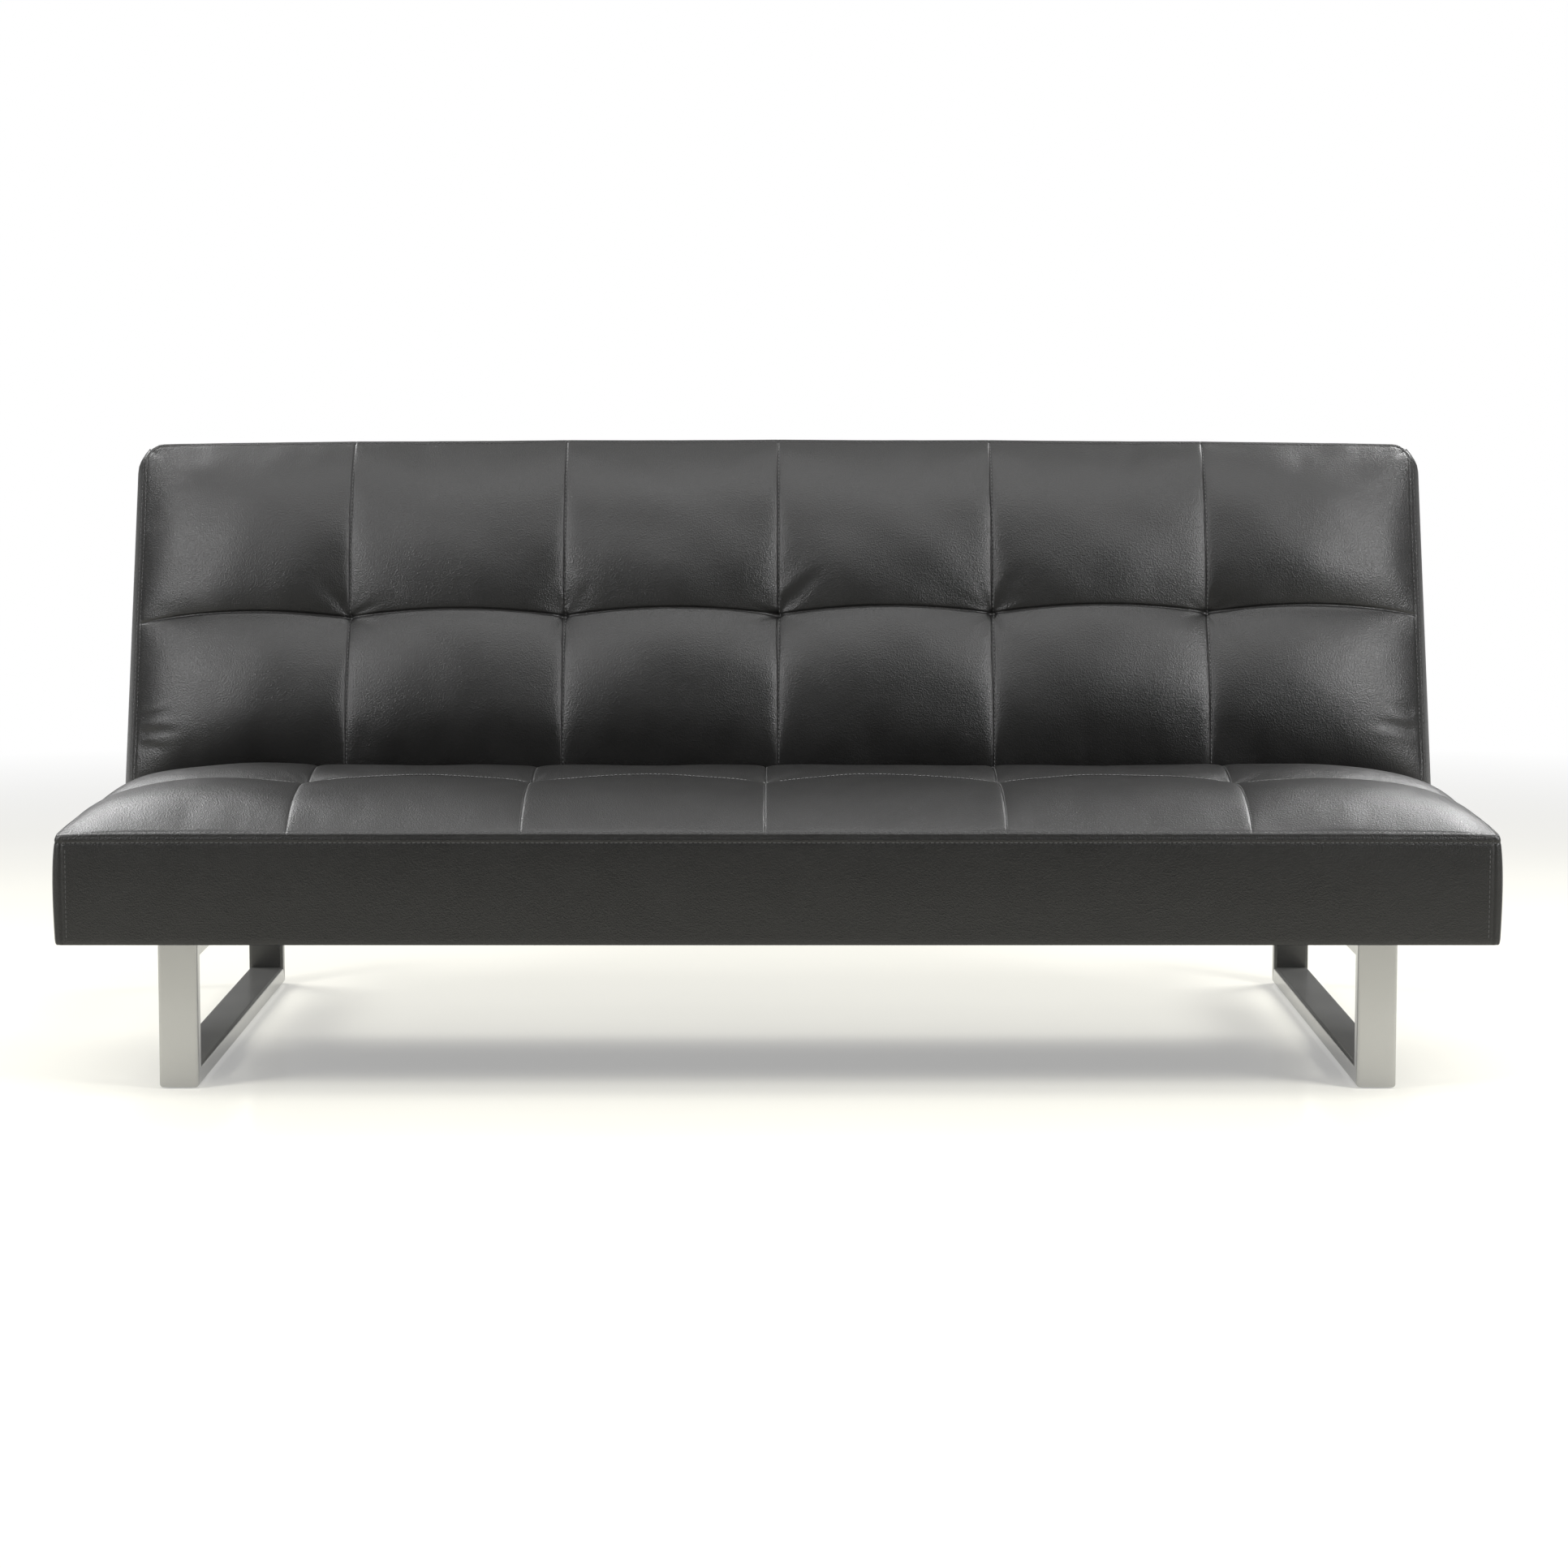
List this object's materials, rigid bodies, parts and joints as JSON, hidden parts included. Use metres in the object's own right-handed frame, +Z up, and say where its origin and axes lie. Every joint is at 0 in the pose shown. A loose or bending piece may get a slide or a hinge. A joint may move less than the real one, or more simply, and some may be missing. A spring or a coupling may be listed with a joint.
{
  "type": "click-clack sofa bed",
  "caption": "Armless sofa bed: quilted black leather-look seat and back panels on satin metal sled legs; the back folds flat on ratchet hinges.",
  "frame": {"origin": "on the floor, at the middle of the footprint", "axes": "+X along the width, -Y towards the sitter, +Z up"},
  "size_m": [1.8, 0.96, 0.8038],
  "materials": {
    "black_leather": "fine pebbled grain, satin",
    "satin_metal": "satin",
    "foam": "open-cell foam",
    "felt": "pressed felt",
    "spring_steel": "dark oiled wire",
    "dust_cloth": "black non-woven cloth",
    "rubber": "matte",
    "black_plastic": "matte",
    "zinc_steel": "zinc plated",
    "timber": "planed, unfinished"
  },
  "bodies": {
    "seat_base": {"back_rest_buffers": "rubber", "left_hinge_guard": "zinc_steel", "left_hinge_pawl_spring": "zinc_steel", "left_hinge_pin": "zinc_steel", "left_hinge_seat_arm": "zinc_steel", "left_hinge_small_pins": "zinc_steel", "left_leg_bottom_rail": "satin_metal", "left_leg_front_post": "satin_metal", "left_leg_rear_post": "satin_metal", "left_leg_top_rail": "satin_metal", "leg_bolts": "zinc_steel", "leg_glides": "black_plastic", "leg_mount_plates": "zinc_steel", "right_hinge_guard": "zinc_steel", "right_hinge_pawl_spring": "zinc_steel", "right_hinge_pin": "zinc_steel", "right_hinge_seat_arm": "zinc_steel", "right_hinge_small_pins": "zinc_steel", "right_leg_bottom_rail": "satin_metal", "right_leg_front_post": "satin_metal", "right_leg_rear_post": "satin_metal", "right_leg_top_rail": "satin_metal", "seat_border_cover": "black_leather", "seat_corner_blocks": "timber", "seat_dust_cover": "dust_cloth", "seat_edge_padding": "foam", "seat_felt_pad": "felt", "seat_foam": "foam", "seat_front_rail": "timber", "seat_hinge_bolts": "zinc_steel", "seat_left_cross_rail": "timber", "seat_left_rail": "timber", "seat_middle_cross_rail": "timber", "seat_quilted_cover": "black_leather", "seat_rear_rail": "timber", "seat_right_cross_rail": "timber", "seat_right_rail": "timber", "seat_springs": "spring_steel"},
    "backrest": {"back_border_cover": "black_leather", "back_corner_blocks": "timber", "back_edge_padding": "foam", "back_felt_pad": "felt", "back_foam": "foam", "back_hinge_bolts": "zinc_steel", "back_left_cross_rail": "timber", "back_left_rail": "timber", "back_lower_rail": "timber", "back_middle_cross_rail": "timber", "back_quilted_cover": "black_leather", "back_rear_cover": "black_leather", "back_right_cross_rail": "timber", "back_right_rail": "timber", "back_springs": "spring_steel", "back_upper_rail": "timber", "left_hinge_back_arm": "zinc_steel", "left_hinge_ratchet": "zinc_steel", "right_hinge_back_arm": "zinc_steel", "right_hinge_ratchet": "zinc_steel"},
    "left_pawl": {"left_hinge_pawl": "zinc_steel"},
    "right_pawl": {"right_hinge_pawl": "zinc_steel"}
  },
  "joints": [
    {"name": "backrest_recline", "type": "hinge", "parent": "seat_base", "child": "backrest", "pos_m": [0, 0.027, 0.3], "axis": [-1, 0, 0], "range_deg": [-8, 70]},
    {"name": "left_pawl_rock", "type": "hinge", "parent": "seat_base", "child": "left_pawl", "pos_m": [-0.8865, -0.003, 0.292], "axis": [-1, 0, 0], "range_deg": [0, 10], "stiffness_Nm_per_rad": 0.05, "springref_deg": -5.73, "deforming": ["left_hinge_pawl_spring"]},
    {"name": "right_pawl_rock", "type": "hinge", "parent": "seat_base", "child": "right_pawl", "pos_m": [0.8865, -0.003, 0.292], "axis": [-1, 0, 0], "range_deg": [0, 10], "stiffness_Nm_per_rad": 0.05, "springref_deg": -5.73, "deforming": ["right_hinge_pawl_spring"]}
  ]
}
